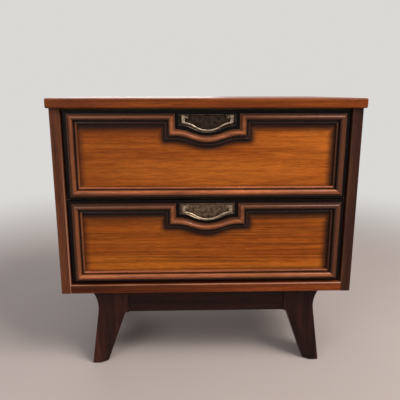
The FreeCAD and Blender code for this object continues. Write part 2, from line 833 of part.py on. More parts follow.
# For each run: the way from the outer edge to the panel, with the section's height towards the front.
SECTION_TURNS = {
    "up": Rotation(Vector(0, 0, 1), Vector(0, -1, 0), Vector(1, 0, 0), "XYZ"),
    "down": Rotation(Vector(0, 0, -1), Vector(0, -1, 0), Vector(-1, 0, 0), "XYZ"),
    "right": Rotation(Vector(1, 0, 0), Vector(0, -1, 0), Vector(0, 0, -1), "XYZ"),
    "left": Rotation(Vector(-1, 0, 0), Vector(0, -1, 0), Vector(0, 0, 1), "XYZ"),
}


def mitred(name, start, inward, length, corners):
    """A length of moulding: the section pushed along its run, trimmed to a mitred outline."""
    x, z = start
    stick = prism(name + "_stick", (x, "field_face", z), SECTION_TURNS[inward], MOULDING_SECTION, length)
    trim = prism(name + "_trim", ("0", "field_face", "0"), UPRIGHT, corners, "moulding_rise")
    return common(name, stick, trim)


def build_mouldings(level):
    """The mitred frame round the panel and the piece that drops round the pull."""
    base = f"{level}_level"
    top, low = f"{base} + moulding_up", f"{base} + field_under"
    tall, wide = f"{top} - ({low})", "2 * moulding_half"
    inner_top, inner_low = f"{top} - moulding_wide", f"{low} + moulding_wide"
    side_start = {"left": ("-moulding_half", top), "right": ("moulding_half", low)}
    inward = {"left": "right", "right": "left"}
    for side, sign in SIDES:
        corners = [
            (f"{sign} * moulding_half", low),
            (f"{sign} * moulding_half", top),
            (f"{sign} * veneer_half", inner_top),
            (f"{sign} * veneer_half", inner_low),
        ]
        name = f"{level}_moulding_{side}"
        part(name, mitred(name, side_start[side], inward[side], tall, corners))
    corners = [
        ("-moulding_half", low),
        ("moulding_half", low),
        ("veneer_half", inner_low),
        ("-veneer_half", inner_low),
    ]
    name = f"{level}_moulding_bottom"
    part(name, mitred(name, ("-moulding_half", low), "up", wide, corners))
    halves = []
    for side, sign in SIDES:
        corners = [
            (f"{sign} * moulding_half", top),
            (f"{sign} * notch_half", top),
            (f"{sign} * (notch_half + moulding_wide)", inner_top),
            (f"{sign} * veneer_half", inner_top),
        ]
        halves.append(mitred(f"{level}_moulding_top_{side}", ("moulding_half", top), "down", wide, corners))
    part(f"{level}_moulding_top", group(f"{level}_moulding_top", halves))
    build_notch(level, top)


def build_notch(level, top):
    """The moulding round the pull, swept down one return, along the swag and up the other."""
    corner = f"{top} - notch_deep"
    bends = swag("notch_half", "swag_drop", "swag_angle", "swag_radius", corner, "0")
    route = [
        ("-notch_half", top),
        ("-notch_half", corner, "right", "swag_radius"),
        bends[0],
        bends[1],
        ("notch_half", corner),
        ("notch_half", top),
    ]
    name = f"{level}_notch"
    path = doc.addObject("Sketcher::SketchObject", name + "_path")
    path.Placement = Placement(Vector(), UPRIGHT)
    locate(path, "0", "field_face", "0")
    draw(path, route, closed=False)
    section = doc.addObject("Sketcher::SketchObject", name + "_section")
    section.Placement = Placement(Vector(), Rotation(Vector(-1, 0, 0), Vector(0, -1, 0),
                                                     Vector(0, 0, 1), "XYZ"))
    locate(section, "-notch_half", "field_face", top)
    draw(section, MOULDING_SECTION)
    doc.recompute()
    run = doc.addObject("Part::Sweep", name + "_sweep")
    run.Sections = [section]
    run.Spine = (path, [f"Edge{n + 1}" for n in range(len(route) - 1)])
    run.Solid = True
    run.Transition = "Right corner"
    low = f"{corner} - swag_drop - 2 * moulding_wide"
    corners = [
        ("-notch_half", top),
        ("-notch_half - moulding_wide", f"{top} - moulding_wide"),
        ("-notch_half - moulding_wide", low),
        ("notch_half + moulding_wide", low),
        ("notch_half + moulding_wide", f"{top} - moulding_wide"),
        ("notch_half", top),
    ]
    trim = prism(name + "_trim", ("0", "field_face", "0"), UPRIGHT, corners, "moulding_rise")
    part(f"{level}_moulding_notch", common(f"{level}_moulding_notch", run, trim))


def build_box(level):
    """Drawer sides dovetailed into the front, the back housed in them, and the bottom in grooves."""
    base = f"{level}_level"
    low = f"{base} + lip_drop"
    high = f"{low} + box_tall"
    groove_low = f"{low} + box_bottom_up"
    bottom_top = f"{groove_low} + box_bottom_thick"
    back_height = (bottom_top, f"{high} - box_back_lower")
    housed = ("-box_inner - box_back_housing", "box_inner + box_back_housing")
    back_along = ("box_back_front", "box_back_rear")
    part(f"{level}_back", board(f"{level}_back", housed, back_along, back_height))
    for side, sign in SIDES:
        plank = board(f"{level}_plank_{side}", mirrored(("box_inner", "box_half"), sign),
                      ("front_inner", "box_rear"), (low, high))
        blank = fused(f"{level}_side_{side}_blank", [plank, *tails(f"{level}_tail_{side}", level, sign)])
        groove = board(f"{level}_groove_{side}",
                       mirrored(("box_inner", "box_inner + groove_deep"), sign),
                       ("front_inner - tail_long", "box_rear"),
                       (groove_low, f"{bottom_top} + groove_play"))
        housing = board(f"{level}_back_housing_{side}",
                        mirrored(("box_inner", "box_inner + box_back_housing"), sign),
                        back_along, (bottom_top, f"{high} - box_back_lower"))
        part(f"{level}_side_{side}", cut(f"{level}_side_{side}", blank, [groove, housing]))
    reach = "box_inner + groove_deep - groove_play"
    part(f"{level}_bottom", board(f"{level}_bottom", (f"-({reach})", reach),
                                  ("front_inner - groove_deep + groove_play", "box_back_rear"),
                                  (groove_low, bottom_top)))
    cleats = []
    for side, sign in SIDES:
        across = mirrored(("guide_wide / 2 + guide_play", "guide_wide / 2 + guide_play + cleat_wide"), sign)
        cleats.append(board(f"{level}_cleat_{side}", across, ("front_inner", "box_back_rear"),
                            (f"{low} + cleat_lift", groove_low)))
    part(f"{level}_guide_cleats", group(f"{level}_guide_cleats", cleats))


def pull_screw(name, level, sign, play="0"):
    """A machine screw into a post, its head sunk in the back of the front's lip."""
    centre = f"{sign} * (post_outer + post_inner) / 2"
    up = f"{level}_level + moulding_up - pivot_down"
    start = "plate_face - pull_screw_bite"
    shank = rod(name + "_shank", "y", (centre, start, up), f"lip_back - ({start})",
                f"pull_screw_radius + {play}")
    head = rod(name + "_head", "y", (centre, "lip_back - pull_screw_head_tall", up),
               "pull_screw_head_tall", f"pull_screw_head + {play}")
    return fused(name, [shank, head])


def build_pull(level, screw_holes):
    """The pull: rimmed backplate, two posts, the screws behind them and the swinging bail."""
    top = f"{level}_level + moulding_up"
    up = f"{top} - pivot_down"
    high, corner = f"{top} - plate_down", f"{top} - plate_down - plate_tall"
    bends = swag("plate_half", "plate_swag", "plate_angle", "plate_radius", corner, "0")
    outline = [
        ("-plate_half", high),
        ("-plate_half", corner, "right", "plate_radius"),
        *bends,
        ("plate_half", corner),
        ("plate_half", high),
    ]
    blank = body(f"{level}_plate_blank", "XZ_Plane", outline, "-field_face", "plate_thick + rim_rise")
    bends = swag("plate_half", "plate_swag", "plate_angle", "plate_radius", corner, "-rim_wide")
    inside = "plate_half - rim_wide"
    recess_outline = [
        (f"-({inside})", f"{high} - rim_wide"),
        (f"-({inside})", f"{corner} + rim_wide", "right", "plate_radius + rim_wide"),
        *bends,
        (inside, f"{corner} + rim_wide"),
        (inside, f"{high} - rim_wide"),
    ]
    recess = prism(f"{level}_plate_recess", ("0", "plate_face", "0"), UPRIGHT, recess_outline, "rim_rise")
    plate = cut(f"{level}_pull_backplate", blank, [recess, screw_holes])
    part(f"{level}_pull_backplate", plate)

    posts, screws = [], []
    for side, sign in SIDES:
        block = board(f"{level}_post_{side}", mirrored(("post_inner", "post_outer"), sign),
                      ("pivot_face - post_front", "plate_face"),
                      (f"{up} - post_tall / 2", f"{up} + post_tall / 2"))
        bore_start = "post_outer - pin_long" if sign > 0 else "-post_outer"
        bore = rod(f"{level}_bore_{side}", "x", (bore_start, "pivot_face", up), "pin_long",
                   "pin_radius + pin_play")
        posts.append(cut(f"{level}_post_{side}_bored", block, [bore, screw_holes, plate]))
        screws.append(pull_screw(f"{level}_screw_{side}", level, sign))
    part(f"{level}_pull_posts", group(f"{level}_pull_posts", posts))
    part(f"{level}_pull_screws", group(f"{level}_pull_screws", screws))
    build_bail(level, top, up)


def build_bail(level, top, up):
    """The bail: a swagged strap between two flat arms, with a pin at the head of each arm."""
    high = f"{top} - bail_down"
    corner = f"{high} - bail_arm_long"
    outer = swag("bail_half", "bail_swag", "bail_angle", "bail_radius", corner, "0")
    inner = swag("bail_half", "bail_swag", "bail_angle", "bail_radius", corner, "-bail_strap")
    rise = "sqrt((bail_radius + bail_strap) ^ 2 - bail_arm_wide ^ 2)"
    crook = f"{corner} - bail_radius + {rise}"
    outline = [
        ("-bail_half", high),
        ("-bail_half", corner, "right", "bail_radius"),
        *outer,
        ("bail_half", corner),
        ("bail_half", high),
        ("bail_inner", high),
        ("bail_inner", crook, "left", "bail_radius + bail_strap"),
        (inner[1][0], inner[1][1], "right", "bail_radius - bail_strap"),
        (inner[0][0], inner[0][1], "left", "bail_radius + bail_strap"),
        ("-bail_inner", crook),
        ("-bail_inner", high),
    ]
    strap = body(f"{level}_bail_strap", "XZ_Plane", outline, "-pivot_face - bail_thick / 2", "bail_thick")
    reach = "pin_long - 2 * post_side_gap"
    pins = []
    for side, sign in SIDES:
        start = f"bail_inner - ({reach})" if sign > 0 else "-bail_inner"
        pins.append(rod(f"{level}_pin_{side}", "x", (start, "pivot_face", up), reach, "pin_radius"))
    part(f"{level}_pull_bail", fused(f"{level}_pull_bail", [strap, *pins]))


def build_drawer(level):
    """One whole drawer."""
    holes = [pull_screw(f"{level}_screw_hole_{side}", level, sign, "fit_play") for side, sign in SIDES]
    screw_holes = group(f"{level}_screw_holes", holes)
    build_front(level, screw_holes)
    build_mouldings(level)
    build_box(level)
    build_pull(level, screw_holes)


# Assembly and export --------------------------------------------------------------------------------------

def check(items):
    """Stop if an object failed or a finished piece isn't a valid shape with volume."""
    doc.recompute()
    for item in doc.Objects:
        if "Invalid" in item.State or "Error" in item.State:
            raise RuntimeError(f"{item.Name} failed: {item.State}")
    for item in items:
        shape = item.Shape
        if shape.isNull() or not shape.isValid() or not shape.Solids or shape.Volume <= 0:
            raise RuntimeError(f"{item.Label} is not a valid solid")


def main():
    """Build every piece, check it and write one STEP file for each."""
    top_holes, cleat_holes = build_screws()
    nail_holes = build_back()
    build_top(top_holes)
    housings = build_rails(top_holes, nail_holes)
    build_sides(housings, nail_holes)
    build_bottom(cleat_holes, nail_holes)
    build_runners()
    build_glue_blocks()
    dowel_holes = build_dowels()
    build_legs(dowel_holes)
    build_aprons(dowel_holes, cleat_holes)
    for level in ("lower", "upper"):
        build_drawer(level)
    check(parts)
    os.makedirs("parts", exist_ok=True)
    for item in parts:
        item.Shape.exportStep(os.path.join("parts", item.Label + ".step"))
    print(len(parts), "parts written")


main()
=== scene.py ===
import json
import math

import bpy
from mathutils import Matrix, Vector


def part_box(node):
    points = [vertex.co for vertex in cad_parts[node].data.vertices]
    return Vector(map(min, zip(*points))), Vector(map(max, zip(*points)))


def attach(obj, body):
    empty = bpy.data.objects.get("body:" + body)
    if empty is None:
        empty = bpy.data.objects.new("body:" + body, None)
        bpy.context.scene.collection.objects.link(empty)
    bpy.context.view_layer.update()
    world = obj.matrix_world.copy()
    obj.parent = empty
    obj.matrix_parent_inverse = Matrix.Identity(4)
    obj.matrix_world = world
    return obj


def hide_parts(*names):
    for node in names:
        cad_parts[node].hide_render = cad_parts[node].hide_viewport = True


# A two-drawer nightstand in dark walnut, with shaded drawer panels and antique brass bail pulls.
# Everything is in metres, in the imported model's frame: X across, Y from front to back, Z up.

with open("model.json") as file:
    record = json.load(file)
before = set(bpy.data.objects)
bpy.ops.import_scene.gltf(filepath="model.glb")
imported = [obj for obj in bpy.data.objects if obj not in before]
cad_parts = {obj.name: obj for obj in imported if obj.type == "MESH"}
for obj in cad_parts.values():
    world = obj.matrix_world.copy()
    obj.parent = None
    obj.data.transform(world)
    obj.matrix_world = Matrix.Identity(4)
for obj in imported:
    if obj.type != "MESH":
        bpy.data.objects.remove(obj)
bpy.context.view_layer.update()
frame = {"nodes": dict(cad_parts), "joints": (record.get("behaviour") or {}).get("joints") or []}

MM = 0.001
LEVELS = ("lower", "upper")
PIVOT = {joint["child"]: joint["pos_m"] for joint in frame["joints"] if joint["type"] == "hinge"}

# Mouldings: their width, and the notch that drops round the pull.
RUNS = ("left", "right", "bottom", "top", "notch")
MOULDING_WIDE = 19.5 * MM
SWAG_DROP = 12.5 * MM
NOTCH_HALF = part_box("lower_moulding_notch")[1].x - MOULDING_WIDE

# The pull: how far its plate and its bail swag, and the sizes of the bail's arms, strap, pins and posts.
PLATE_SWAG = 14 * MM
BAIL_SWAG = 15 * MM
BAIL_ARM = 7 * MM
BAIL_STRAP = 3.6 * MM
PIN_RADIUS = 1.5 * MM
POST_WIDE = 7 * MM

# Colours shared by several finishes (toner with painted shade, and worn lacquer with a painted highlight),
# and half the width over which a board's brightness leans, on some boards a painted light.
TONER_AND_SHADE = (0.007, 0.0035, 0.003)
RUBBED_HIGHLIGHT = (0.42, 0.2, 0.12)
LEAN_HALF = 0.29

# Stage: the floor fades into the backdrop between two distances from the object.
FLOOR = (0.4, 0.335, 0.31)
FLOOR_HALF = 9.0
BACKDROP = (0.7, 0.69, 0.67)
FADE_START, FADE_END = 0.7, 1.9
LAMP_AIM = (0.0, 0.0, 0.3)

# Camera: focal length in millimetres, place, and angles in degrees below level and to the right.
CAMERA_LENS = 41.05
CAMERA_PLACE = (-0.0396, -1.0761, 0.5805)
CAMERA_DOWN, CAMERA_RIGHT = 13.21, 1.63


# Shader building ------------------------------------------------------------------------------------------

def add(tree, kind, settings=None, **inputs):
    """Add a shader node; an input is a number, a colour or another node's output."""
    item = tree.nodes.new("ShaderNode" + kind)
    for name, setting in (settings or {}).items():
        setattr(item, name, setting)
    for name, content in inputs.items():
        socket = item.inputs[int(name[1:])] if name[1:].isdigit() else item.inputs[name.replace("_", " ")]
        if isinstance(content, bpy.types.NodeSocket):
            tree.links.new(content, socket)
        else:
            socket.default_value = content
    return item


def calc(tree, operation, *values):
    """The output of a maths node."""
    inputs = {f"i{number}": content for number, content in enumerate(values)}
    return add(tree, "Math", {"operation": operation}, **inputs).outputs[0]


def fade(tree, content, start, end, low=1.0, high=0.0):
    """A smooth step from low at start to high at end."""
    settings = {"interpolation_type": "SMOOTHSTEP"}
    inputs = {"i0": content, "i1": start, "i2": end, "i3": low, "i4": high}
    return add(tree, "MapRange", settings, **inputs).outputs[0]


def mix(tree, amount, first, second, kind="MIX"):
    """A mix of two colours."""
    settings = {"data_type": "RGBA", "blend_type": kind}
    item = add(tree, "Mix", settings, i0=amount, i6=first, i7=second)
    return item.outputs[2]


def noise(tree, place, scale, detail=4.0, rough=0.55, twist=0.0):
    """A noise value at a stretched place."""
    item = add(tree, "TexNoise", None, Vector=place, Scale=scale, Detail=detail, Roughness=rough,
               Distortion=twist)
    return item.outputs[0]


def stretched(tree, along, scale, shift):
    """Object coordinates with the grain laid along the first axis, scaled along and across it."""
    spot = add(tree, "TexCoord").outputs["Object"]
    split = add(tree, "SeparateXYZ", None, i0=spot)
    order = {"x": (0, 1, 2), "y": (1, 0, 2), "z": (2, 1, 0)}[along]
    turned = add(tree, "CombineXYZ", None, X=split.outputs[order[0]], Y=split.outputs[order[1]],
                 Z=split.outputs[order[2]])
    moved = add(tree, "Mapping", None, Vector=turned.outputs[0], Location=shift, Scale=scale)
    return moved.outputs[0]


def colour(red, green, blue):
    """A linear colour with full alpha."""
    return (red, green, blue, 1.0)


def new_material(name):
    """A material with only an output and a principled shader."""
    material = bpy.data.materials.new(name)
    material.use_nodes = True
    tree = material.node_tree
    tree.nodes.clear()
    surface = add(tree, "BsdfPrincipled")
    output = add(tree, "OutputMaterial")
    tree.links.new(surface.outputs[0], output.inputs[0])
    return material, tree, surface


def ramp(tree, content, stops):
    """A value read from stops of place and height, with straight lines between them."""
    item = add(tree, "ValToRGB", None, Fac=content)
    points = item.color_ramp.elements
    while len(points) < len(stops):
        points.new(0.5)
    for point, (place, height) in zip(points, stops):
        point.position = place
        point.color = (height, height, height, 1.0)
    return item.outputs[0]


def wood(name, dark, light, along, shift, rough=0.4, coat=0.04, pore=0.5, toner_and_shade=None, lean=None, lines=0.25,
         shine=0.14, rub=None):
    """Lacquered wood: broad figure, streaks, growth lines and open pores.

    The toner mask holds dark spray and painted shade, the rub mask worn arrises with a painted highlight, and
    lean the brightness at each end along X, on some boards a painted light from the right.
    """
    material, tree, surface = new_material(name)
    broad = noise(tree, stretched(tree, along, (1.6, 15.0, 15.0), shift), 1.0, 4.0, 0.6, 1.1)
    streak = noise(tree, stretched(tree, along, (5.0, 150.0, 150.0), shift), 1.0, 5.0, 0.62, 0.5)
    fine = noise(tree, stretched(tree, along, (38.0, 560.0, 560.0), shift), 1.0, 3.0, 0.75)
    growth = noise(tree, stretched(tree, along, (2.6, 210.0, 210.0), shift), 1.0, 3.0, 0.5, 0.4)
    ticks = noise(tree, stretched(tree, along, (70.0, 1500.0, 1500.0), shift), 1.0, 2.0, 0.5)
    figure = calc(tree, "MULTIPLY_ADD", broad, 0.6, calc(tree, "MULTIPLY", streak, 0.4))
    figure = fade(tree, figure, 0.37, 0.63, 0.0, 1.0)
    tint = mix(tree, figure, colour(*dark), colour(*light))
    shade = fade(tree, fine, 0.34, 0.66, 0.74, 1.14)
    shade = calc(tree, "MULTIPLY", shade, fade(tree, growth, 0.4, 0.5, 1.0 - lines, 1.0))
    if lean:
        across = object_axes(tree)[0]
        shade = calc(tree, "MULTIPLY", shade, fade(tree, across, -LEAN_HALF, LEAN_HALF, *lean))
    grey = add(tree, "CombineColor", None, i0=shade, i1=shade, i2=shade).outputs[0]
    tint = mix(tree, 1.0, tint, grey, "MULTIPLY")
    pores = calc(tree, "MULTIPLY", fade(tree, ticks, 0.34, 0.42), pore)
    tint = mix(tree, pores, tint, colour(*(part * 0.35 for part in dark)))
    if rub:
        tint = mix(tree, rub(tree, broad), tint, colour(*RUBBED_HIGHLIGHT))
    if toner_and_shade:
        tint = mix(tree, toner_and_shade(tree, streak), tint, colour(*TONER_AND_SHADE))
    smears = noise(tree, stretched(tree, along, (9.0, 9.0, 9.0), shift), 1.0, 4.0, 0.6)
    gloss = calc(tree, "MULTIPLY_ADD", smears, 0.16, rough - 0.08)
    height = calc(tree, "SUBTRACT", calc(tree, "MULTIPLY", fine, 0.35), pores)
    bump = add(tree, "Bump", None, Strength=0.12, Distance=0.0006, Height=height)
    tree.links.new(tint, surface.inputs["Base Color"])
    tree.links.new(gloss, surface.inputs["Roughness"])
    tree.links.new(bump.outputs[0], surface.inputs["Normal"])
    surface.inputs["Coat Weight"].default_value = coat
    surface.inputs["Coat Roughness"].default_value = 0.2
    surface.inputs["Specular IOR Level"].default_value = shine
    return material


# Toner masks: where the finisher sprayed the wood dark, and painted shade along the mouldings
# -------------------

def object_axes(tree):
    """The object's own coordinates, as three outputs."""
    spot = add(tree, "TexCoord").outputs["Object"]
    return add(tree, "SeparateXYZ", None, i0=spot).outputs


def notch_reach(tree, level):
    """How far a point lies outside the notch's inner line: down from the swag, or out from a return."""
    x, _, z = object_axes(tree)
    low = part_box(f"{level}_moulding_notch")[0]
    side = calc(tree, "ABSOLUTE", x)
    wave = calc(tree, "COSINE", calc(tree, "MULTIPLY", calc(tree, "MINIMUM", side, NOTCH_HALF),
                                     math.pi / NOTCH_HALF))
    line = calc(tree, "MULTIPLY_ADD", wave, -SWAG_DROP / 2, low.z + MOULDING_WIDE + SWAG_DROP / 2)
    beside = calc(tree, "MAXIMUM", calc(tree, "SUBTRACT", side, NOTCH_HALF), 0.0)
    below = calc(tree, "MAXIMUM", calc(tree, "SUBTRACT", line, z), 0.0)
    return beside, below


def panel_toner_and_shadow(level):
    """Dark spray on the panel along the moulding, with a painted shadow of the moulding, heaviest at the top
    and round the notch.
    """
    low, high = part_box(f"{level}_face_veneer")

    def mask(tree, streak):
        x, _, z = object_axes(tree)
        beside, below = notch_reach(tree, level)
        beside = calc(tree, "MAXIMUM", calc(tree, "SUBTRACT", beside, MOULDING_WIDE), 0.0)
        below = calc(tree, "MAXIMUM", calc(tree, "SUBTRACT", below, MOULDING_WIDE), 0.0)
        notch = calc(tree, "SQRT", calc(tree, "ADD", calc(tree, "POWER", beside, 2.0),
                                        calc(tree, "POWER", below, 2.0)))
        # How far in a point lies, where the spray and painted shadow start and end in millimetres, and their
        # weight.
        bands = (
            (calc(tree, "SUBTRACT", high.z, z), 4, 23, 0.95),
            (calc(tree, "SUBTRACT", z, low.z), 0, 6, 0.4),
            (calc(tree, "SUBTRACT", high.x, x), 2, 19, 0.88),
            (calc(tree, "SUBTRACT", x, low.x), 0, 15, 0.6),
            (notch, 2, 17, 0.93),
        )
        total = 0.0
        for reach, start, end, most in bands:
            band = calc(tree, "MULTIPLY", fade(tree, reach, start * MM, end * MM), most)
            total = calc(tree, "MAXIMUM", total, band)
        return calc(tree, "MULTIPLY", total, calc(tree, "MULTIPLY_ADD", streak, 0.3, 0.86))

    return mask


# How bright each length of moulding is under its toner: painted light and shade, the top run darkened for the
# shade under the top and the bottom run lifted where it faces up to the light.
MOULDING_PAINTED_LIGHT = {"top": 0.72, "notch": 1.0, "bottom": 1.5, "left": 0.92, "right": 1.0}
MOULDING_WOOD = ((0.13, 0.034, 0.01), (0.3, 0.09, 0.03))

# How dark the toner and painted shade are across a moulding, from its outer edge to the panel, at shares of
# its width:
# fillet, bead, groove and inner bead; the runs differ where painted shade falls on faces turned from the
# light.
MOULDING_TONER_AND_SHADE = {
    "top": ((0.0, 0.85), (0.12, 0.6), (0.16, 0.75), (0.27, 0.3), (0.4, 0.4), (0.58, 0.85), (0.72, 0.97),
            (0.8, 0.95), (0.9, 0.8), (1.0, 0.95)),
    "notch": ((0.0, 0.6), (0.12, 0.4), (0.16, 0.4), (0.26, 0.0), (0.44, 0.1), (0.6, 0.8), (0.72, 0.97),
              (0.8, 0.95), (0.9, 0.85), (1.0, 0.97)),
    "bottom": ((0.0, 0.9), (0.12, 0.75), (0.16, 0.75), (0.26, 0.35), (0.42, 0.0), (0.66, 0.0), (0.7, 0.85),
               (0.79, 0.85), (0.84, 0.0), (1.0, 0.15)),
    "left": ((0.0, 0.6), (0.12, 0.35), (0.15, 0.85), (0.26, 0.5), (0.4, 0.0), (0.58, 0.12), (0.7, 0.93),
             (0.79, 0.9), (0.85, 0.12), (1.0, 0.35)),
    "right": ((0.0, 0.7), (0.12, 0.5), (0.15, 0.6), (0.26, 0.4), (0.45, 0.45), (0.62, 0.8), (0.7, 0.95),
              (0.79, 0.93), (0.86, 0.6), (1.0, 0.85)),
}


def moulding_toner_and_shade(level, run):
    """Dark toner left in the low parts of a moulding, rubbed off its beads, with painted shade on the runs
    and faces turned from the light.
    """
    low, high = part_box(f"{level}_moulding_{run}")

    def mask(tree, streak):
        x, _, z = object_axes(tree)
        if run == "notch":
            reach = calc(tree, "MAXIMUM", *notch_reach(tree, level))
        elif run == "top":
            reach = calc(tree, "SUBTRACT", high.z, z)
        elif run == "bottom":
            reach = calc(tree, "SUBTRACT", z, low.z)
        elif run == "left":
            reach = calc(tree, "SUBTRACT", x, low.x)
        else:
            reach = calc(tree, "SUBTRACT", high.x, x)
        tone = ramp(tree, calc(tree, "DIVIDE", reach, MOULDING_WIDE), MOULDING_TONER_AND_SHADE[run])
        return calc(tree, "MULTIPLY", tone, calc(tree, "MULTIPLY_ADD", streak, 0.3, 0.86))

    return mask


def side_wear_and_highlight(tree, broad):
    """Painted highlight and lacquer worn thin along the inner front arris of a side."""
    x, y, _ = object_axes(tree)
    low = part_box("side_panel_right")[0]
    across = calc(tree, "SUBTRACT", calc(tree, "ABSOLUTE", x), low.x)
    near = calc(tree, "MULTIPLY", fade(tree, across, 1.6 * MM, 2.6 * MM),
                fade(tree, calc(tree, "SUBTRACT", y, low.y), 1.0 * MM, 2.6 * MM))
    return calc(tree, "MULTIPLY", near, fade(tree, broad, 0.4, 0.6, 0.1, 0.75))


def rail_wear_and_highlight(tree, broad):
    """Painted highlight and lacquer worn thin along the upper front arris of the rail under the drawers."""
    _, y, z = object_axes(tree)
    low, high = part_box("bottom_rail")
    near = calc(tree, "MULTIPLY", fade(tree, calc(tree, "SUBTRACT", high.z, z), 1.4 * MM, 2.4 * MM),
                fade(tree, calc(tree, "SUBTRACT", y, low.y), 1.0 * MM, 2.4 * MM))
    return calc(tree, "MULTIPLY", near, fade(tree, broad, 0.4, 0.6, 0.15, 0.6))


def brass(name, dark, patina_and_shade, bright, clear):
    """Antique brass: dark patina with specks in the hollows, rubbed bright on what stands proud."""
    material, tree, surface = new_material(name)
    spot = add(tree, "TexCoord").outputs["Object"]
    cloud = noise(tree, spot, 160.0, 5.0, 0.6)
    speck = noise(tree, spot, 1100.0, 3.0, 0.6)
    point = add(tree, "NewGeometry").outputs["Pointiness"]
    proud = fade(tree, point, 0.49, 0.56, 0.0, 1.0)
    rub = calc(tree, "MULTIPLY", proud, fade(tree, cloud, 0.3, 0.6, 0.45, 1.0))
    rub = calc(tree, "MAXIMUM", rub, clear)
    ground = mix(tree, fade(tree, speck, 0.42, 0.66, 0.0, 1.0), colour(*dark), colour(*patina_and_shade))
    ground = mix(tree, fade(tree, cloud, 0.4, 0.65, 0.0, 0.6), ground, colour(*patina_and_shade))
    tint = mix(tree, rub, ground, colour(*bright))
    tarnish = calc(tree, "MULTIPLY", fade(tree, cloud, 0.38, 0.5), 0.5)
    tint = mix(tree, tarnish, tint, colour(*dark))
    gloss = calc(tree, "MULTIPLY_ADD", speck, 0.25, 0.24)
    bump = add(tree, "Bump", None, Strength=0.25, Distance=0.0002, Height=speck)
    tree.links.new(tint, surface.inputs["Base Color"])
    tree.links.new(gloss, surface.inputs["Roughness"])
    tree.links.new(bump.outputs[0], surface.inputs["Normal"])
    surface.inputs["Metallic"].default_value = 1.0
    return material


def steel(name, tint):
    """Plated steel with fine scratches."""
    material, tree, surface = new_material(name)
    spot = add(tree, "TexCoord").outputs["Object"]
    scuffs = noise(tree, spot, 700.0, 4.0, 0.6)
    shade = mix(tree, scuffs, colour(*(part * 0.7 for part in tint)), colour(*tint))
    tree.links.new(shade, surface.inputs["Base Color"])
    tree.links.new(calc(tree, "MULTIPLY_ADD", scuffs, 0.3, 0.25), surface.inputs["Roughness"])
    surface.inputs["Metallic"].default_value = 1.0
    return material


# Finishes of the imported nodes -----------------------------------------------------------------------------

def finishes():
    """One material for each kind of surface, keyed by a short name."""
    pine_dark, pine_light = (0.36, 0.22, 0.11), (0.54, 0.37, 0.2)
    made = {
        # The top's brightness leans to its right end: painted light from the right.
        "top": wood("walnut_top", (0.115, 0.02, 0.002), (0.25, 0.054, 0.006), "x", (0.3, 0.1, 0.7), 0.36,
                    lean=(0.78, 1.08)),
        "side_left": wood("walnut_side_left", (0.062, 0.017, 0.006), (0.145, 0.04, 0.015), "z",
                          (1.3, 0.2, 0.4), rub=side_wear_and_highlight),
        "side_right": wood("walnut_side_right", (0.03, 0.0085, 0.004), (0.082, 0.024, 0.011), "z",
                           (2.6, 0.9, 0.4), rub=side_wear_and_highlight),
        # The rail's brightness leans to its right end: painted light from the right.
        "rail": wood("walnut_rail", (0.08, 0.014, 0.002), (0.19, 0.038, 0.006), "x", (2.1, 0.6, 0.1),
                     lean=(0.6, 1.25), rub=rail_wear_and_highlight),
        "base": wood("dark_base", (0.012, 0.004, 0.003), (0.056, 0.0135, 0.0085), "z", (0.4, 2.2, 0.9), 0.36,
                     0.04, lean=(1.45, 0.6), shine=0.13),
        "apron": wood("dark_apron", (0.01, 0.0035, 0.0025), (0.03, 0.008, 0.0045), "x", (0.9, 1.2, 0.3), 0.4,
                      0.03, shine=0.13),
        "field": wood("black_field", (0.003, 0.002, 0.0018), (0.009, 0.0045, 0.0035), "x", (3.0, 0.5, 0.2),
                      0.45, 0.0, shine=0.1),
        "plain_x": wood("plain_wood_x", pine_dark, pine_light, "x", (0.2, 0.8, 0.5), 0.6, 0.0),
        "plain_y": wood("plain_wood_y", pine_dark, pine_light, "y", (0.7, 0.3, 0.9), 0.6, 0.0),
        "ply": wood("thin_ply", (0.38, 0.25, 0.13), (0.53, 0.37, 0.21), "y", (1.7, 0.1, 0.4), 0.65, 0.0),
        "back": wood("hardboard_back", (0.19, 0.11, 0.055), (0.25, 0.155, 0.08), "z", (0.1, 0.4, 0.6), 0.7,
                     0.0, 0.2, lines=0.05),
        "steel": steel("zinc_steel", (0.6, 0.6, 0.58)),
    }
    bright = (0.56, 0.43, 0.31)
    # The upper pull's colours are much darker than the lower's: painted shade under the top.
    for level, dark, patina_and_shade in (("upper", (0.009, 0.006, 0.0045), (0.06, 0.04, 0.029)),
                                ("lower", (0.035, 0.021, 0.013), (0.25, 0.165, 0.11))):
        made["plate_" + level] = brass(f"brass_plate_{level}", dark, patina_and_shade, (0.11, 0.08, 0.058), 0.0)
        made["bail_" + level] = brass(f"brass_bail_{level}", dark, patina_and_shade, bright, 0.62)
    for level in LEVELS:
        for run in RUNS:
            along = "z" if run in ("left", "right") else "x"
            dark, light = ([part * MOULDING_PAINTED_LIGHT[run] for part in tone] for tone in MOULDING_WOOD)
            made[f"moulding_{level}_{run}"] = wood(
                f"moulding_{level}_{run}", dark, light, along, (0.5, 1.4, 0.2),
                0.28, 0.05, 0.3, moulding_toner_and_shade(level, run), shine=0.2)
    # The veneers' brightness leans to their right ends: painted light from the right.
    made["veneer_upper"] = wood("face_veneer_upper", (0.25, 0.052, 0.004), (0.42, 0.11, 0.011), "x",
                                (1.9, 0.7, 0.2), 0.38, 0.03, 0.3, panel_toner_and_shadow("upper"),
                                lean=(0.8, 1.04), lines=0.1, shine=0.12)
    made["veneer_lower"] = wood("face_veneer_lower", (0.26, 0.054, 0.0035), (0.45, 0.118, 0.009), "x",
                                (0.0, 0.3, 0.9), 0.38, 0.03, 0.3, panel_toner_and_shadow("lower"),
                                lean=(0.86, 1.0), lines=0.38, shine=0.12)
    return made


